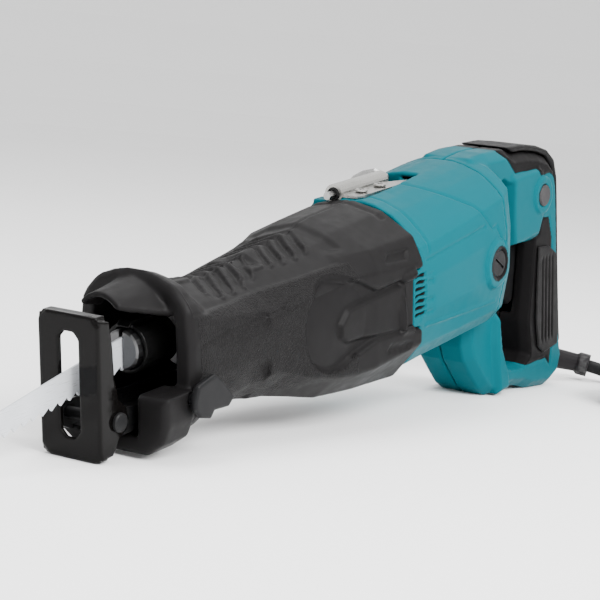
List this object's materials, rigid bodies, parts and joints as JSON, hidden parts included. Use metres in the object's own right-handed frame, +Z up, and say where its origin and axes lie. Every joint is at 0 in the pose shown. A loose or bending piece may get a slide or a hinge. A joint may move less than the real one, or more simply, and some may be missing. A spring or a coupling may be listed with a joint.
{
  "type": "reciprocating saw",
  "caption": "Corded reciprocating saw with a D-handle, pivoting shoe, coarse blade, rubber nose cover and folding hook.",
  "frame": {"origin": "under the middle of the saw's length and width, on the surface that it rests on; the cord is not counted", "axes": "+X towards the handle, +Z up, -Y is the tool's left side; the tool's own axis dips 9.3 degrees towards the blade"},
  "size_m": [0.6234, 0.2282, 0.1603],
  "materials": {
    "boot_elastomer": "matte moulded elastomer",
    "seal_rubber": "matte",
    "grip_elastomer": "matte, finely textured elastomer",
    "guard_rubber": "matte",
    "cast_aluminium": "as cast",
    "sleeve_bronze": "sintered bronze",
    "holder_brass": "plain brass",
    "body_plastic": "blue-green glass-filled plastic, satin",
    "screw_steel": "zinc-plated",
    "laminated_iron": "stacked laminations",
    "enamelled_copper": "enamelled copper wire",
    "commutator_copper": "turned copper bars",
    "black_plastic": "black moulded plastic",
    "brush_carbon": "pressed carbon",
    "bearing_steel": "ground steel with rubber seals",
    "shaft_steel": "machined steel",
    "plunger_steel": "ground steel",
    "blade_steel": "pale coated saw blade",
    "sleeve_coated_steel": "glossy black coating",
    "shoe_coated_steel": "glossy black electro-coating",
    "bracket_steel": "pressed steel",
    "lever_plastic": "black plastic",
    "button_plastic": "dark grey plastic",
    "hook_steel": "nickel-plated steel",
    "cord_rubber": "black rubber sheath",
    "plug_blade_metal": "nickel-plated brass"
  },
  "bodies": {
    "frame": {"nose_boot": "boot_elastomer", "gear_housing": "cast_aluminium", "gear_housing_cover": "cast_aluminium", "guide_sleeve": "sleeve_bronze", "oil_seal": "seal_rubber", "motor_housing": "body_plastic", "handle_right": "body_plastic", "handle_left": "body_plastic", "grip_cover": "grip_elastomer", "grip_pad_left": "grip_elastomer", "grip_pad_right": "grip_elastomer", "handle_screw_1": "screw_steel", "handle_screw_2": "screw_steel", "handle_screw_3": "screw_steel", "stator_core": "laminated_iron", "field_winding_front": "enamelled_copper", "field_winding_rear": "enamelled_copper", "fan_baffle": "black_plastic", "brush_holder_left": "holder_brass", "brush_left": "brush_carbon", "brush_cap_left": "black_plastic", "brush_holder_right": "holder_brass", "brush_right": "brush_carbon", "brush_cap_right": "black_plastic", "front_bearing": "bearing_steel", "rear_bearing": "bearing_steel", "crank_bearing": "bearing_steel", "switch_body": "black_plastic", "hook_bracket": "hook_steel", "hook_bush": "black_plastic", "hook_screw_1": "screw_steel", "hook_screw_2": "screw_steel", "cord_guard": "guard_rubber", "cord": "cord_rubber", "cord_coil": "cord_rubber", "coil_tie": "black_plastic", "cord_tail": "cord_rubber", "plug_body": "cord_rubber", "plug_blade_1": "plug_blade_metal", "plug_blade_2": "plug_blade_metal"},
    "armature": {"armature_shaft": "shaft_steel", "armature_core": "laminated_iron", "armature_winding_front": "enamelled_copper", "armature_winding_rear": "enamelled_copper", "commutator": "commutator_copper", "fan": "black_plastic", "pinion": "shaft_steel"},
    "crank": {"crank_gear": "shaft_steel", "crank_pin": "shaft_steel"},
    "plunger_head": {"plunger": "plunger_steel", "clamp_body": "plunger_steel", "blade": "blade_steel"},
    "sleeve": {"clamp_sleeve": "sleeve_coated_steel"},
    "shoe_arm": {"shoe_bracket": "bracket_steel", "shoe_pin": "bracket_steel"},
    "shoe_plate": {"shoe": "shoe_coated_steel"},
    "shoe_lock": {"shoe_lever": "lever_plastic"},
    "trigger_lever": {"trigger": "black_plastic"},
    "lock_key": {"lock_button": "button_plastic"},
    "hook": {"hook_rod": "hook_steel"}
  },
  "joints": [
    {"name": "armature_spin", "type": "hinge", "parent": "frame", "child": "armature", "pos_m": [0.06988, -0.001, 0.08114], "axis": [0.9869, 0, 0.1616], "range_deg": [-326.25, 326.25]},
    {"name": "crank_spin", "type": "hinge", "parent": "frame", "child": "crank", "pos_m": [-0.04361, -0.001, 0.06255], "axis": [0, 1, 0], "range_deg": [-90.1, 90.1]},
    {"name": "blade_stroke", "type": "slide", "parent": "frame", "child": "plunger_head", "axis": [-0.9869, 0, -0.1616], "range_m": [-0.01602, 0.01602]},
    {"name": "clamp_turn", "type": "hinge", "parent": "plunger_head", "child": "sleeve", "pos_m": [-0.15362, -0.001, 0.05366], "axis": [0.9869, 0, 0.1616], "range_deg": [0, 45], "stiffness_Nm_per_rad": 0.2, "springref_deg": -5.73},
    {"name": "shoe_extend", "type": "slide", "parent": "frame", "child": "shoe_arm", "axis": [-0.9869, 0, -0.1616], "range_m": [0, 0.03]},
    {"name": "shoe_tilt", "type": "hinge", "parent": "shoe_arm", "child": "shoe_plate", "pos_m": [-0.19003, -0.001, 0.02044], "axis": [0, 1, 0], "range_deg": [-30, 0]},
    {"name": "shoe_lever_turn", "type": "hinge", "parent": "frame", "child": "shoe_lock", "pos_m": [-0.15615, -0.001, 0.03197], "axis": [0, 1, 0], "range_deg": [0, 70]},
    {"name": "trigger_pull", "type": "hinge", "parent": "frame", "child": "trigger_lever", "pos_m": [0.22807, -0.001, 0.0959], "axis": [0, 1, 0], "range_deg": [-8, 0], "stiffness_Nm_per_rad": 1.5, "springref_deg": 5.73},
    {"name": "lock_press", "type": "slide", "parent": "frame", "child": "lock_key", "axis": [0, 1, 0], "range_m": [0, 0.003], "stiffness_N_per_m": 400, "springref_m": -0.002},
    {"name": "hook_swing", "type": "hinge", "parent": "frame", "child": "hook", "pos_m": [0.03713, 0.013, 0.12644], "axis": [0.9869, 0, 0.1616], "range_deg": [0, 100]}
  ],
  "couplings": [
    {"joint": "crank_spin", "follows": "armature_spin", "ratio": -0.27586},
    {"joint": "blade_stroke", "follows": "armature_spin", "m_per_rad": 0.0028099}
  ]
}
